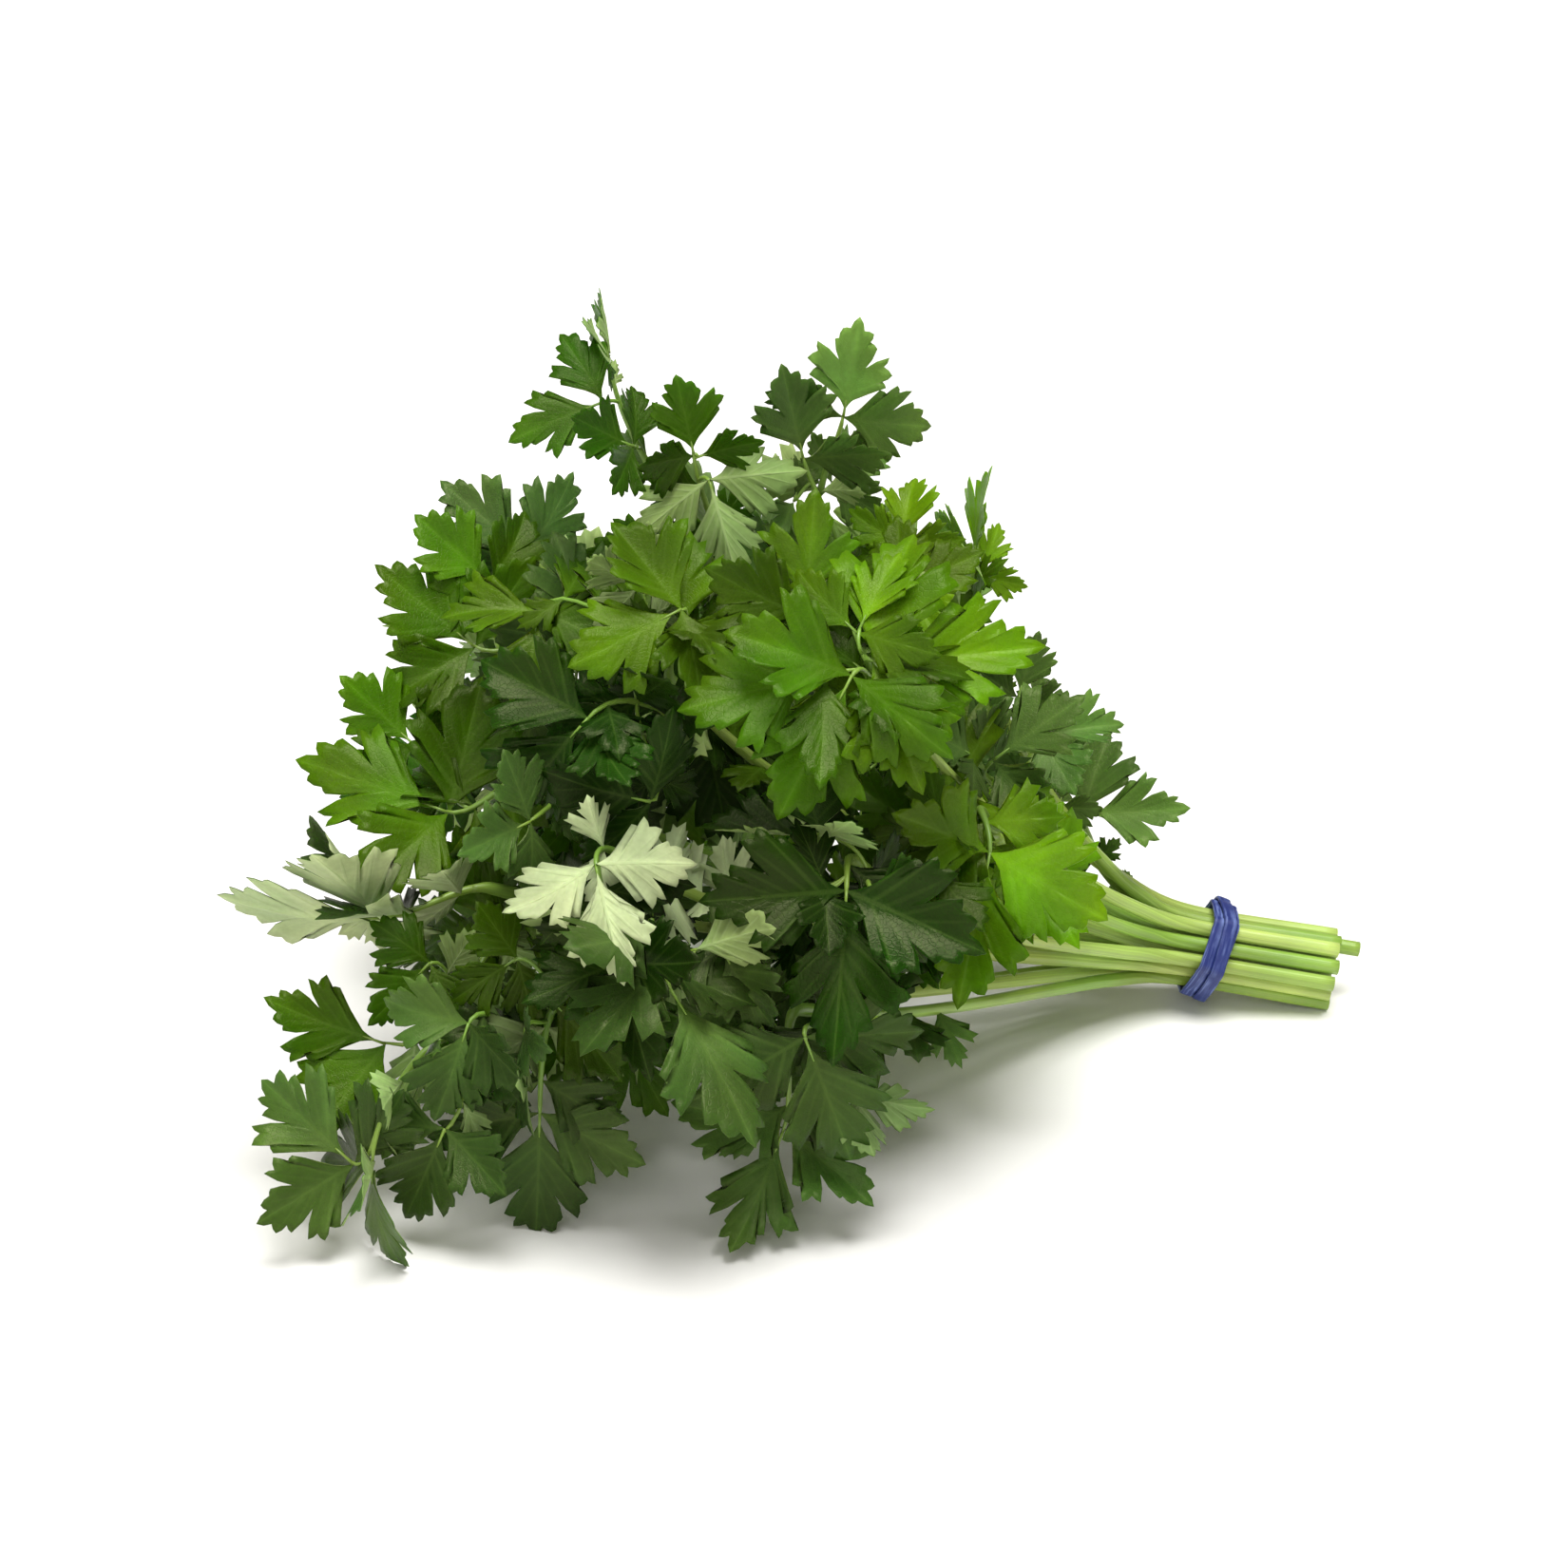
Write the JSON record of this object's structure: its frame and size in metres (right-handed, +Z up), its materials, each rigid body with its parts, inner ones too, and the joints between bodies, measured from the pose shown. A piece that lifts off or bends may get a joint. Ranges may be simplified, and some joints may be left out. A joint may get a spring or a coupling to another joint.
{
  "type": "parsley bunch",
  "caption": "Bunch of flat-leaf parsley lying on its side, its stems tied near the cut ends with a rubber band and its leafy head fanned out.",
  "frame": {"origin": "middle of the bounding box's footprint, on the surface that the bunch lies on", "axes": "+X along the bunch towards the cut ends, the leafy head towards -X; +Z up; -Y towards the front, the side that the picture shows"},
  "size_m": [0.2398, 0.2032, 0.171],
  "materials": {
    "stem": "smooth, ribbed, softly glossy",
    "leaf": "thin and satin above, pale and matt below",
    "rubber_band": "matt to satin rubber"
  },
  "bodies": {
    "root": {"stem_01": "stem", "stem_02": "stem", "stem_03": "stem", "stem_04": "stem", "stem_05": "stem", "stem_06": "stem", "stem_07": "stem", "stem_08": "stem", "stem_09": "stem", "stem_10": "stem", "stem_11": "stem", "stem_12": "stem", "stem_13": "stem", "stem_14": "stem", "stem_15": "stem", "stem_16": "stem", "stem_17": "stem", "stem_18": "stem", "stem_19": "stem", "leaf_01a": "leaf", "leaf_01b": "leaf", "leaf_02a": "leaf", "leaf_02b": "leaf", "leaf_03a": "leaf", "leaf_03b": "leaf", "leaf_04a": "leaf", "leaf_04b": "leaf", "leaf_05a": "leaf", "leaf_05b": "leaf", "leaf_06a": "leaf", "leaf_06b": "leaf", "leaf_07a": "leaf", "leaf_07b": "leaf", "leaf_08a": "leaf", "leaf_08b": "leaf", "leaf_09a": "leaf", "leaf_09b": "leaf", "leaf_10a": "leaf", "leaf_10b": "leaf", "leaf_11a": "leaf", "leaf_11b": "leaf", "leaf_12a": "leaf", "leaf_12b": "leaf", "leaf_13a": "leaf", "leaf_13b": "leaf", "leaf_14a": "leaf", "leaf_14b": "leaf", "leaf_15a": "leaf", "leaf_15b": "leaf", "leaf_16a": "leaf", "leaf_16b": "leaf", "leaf_17a": "leaf", "leaf_17b": "leaf", "leaf_18a": "leaf", "leaf_18b": "leaf", "leaf_19a": "leaf", "leaf_19b": "leaf", "rubber_band": "rubber_band"}
  },
  "joints": []
}
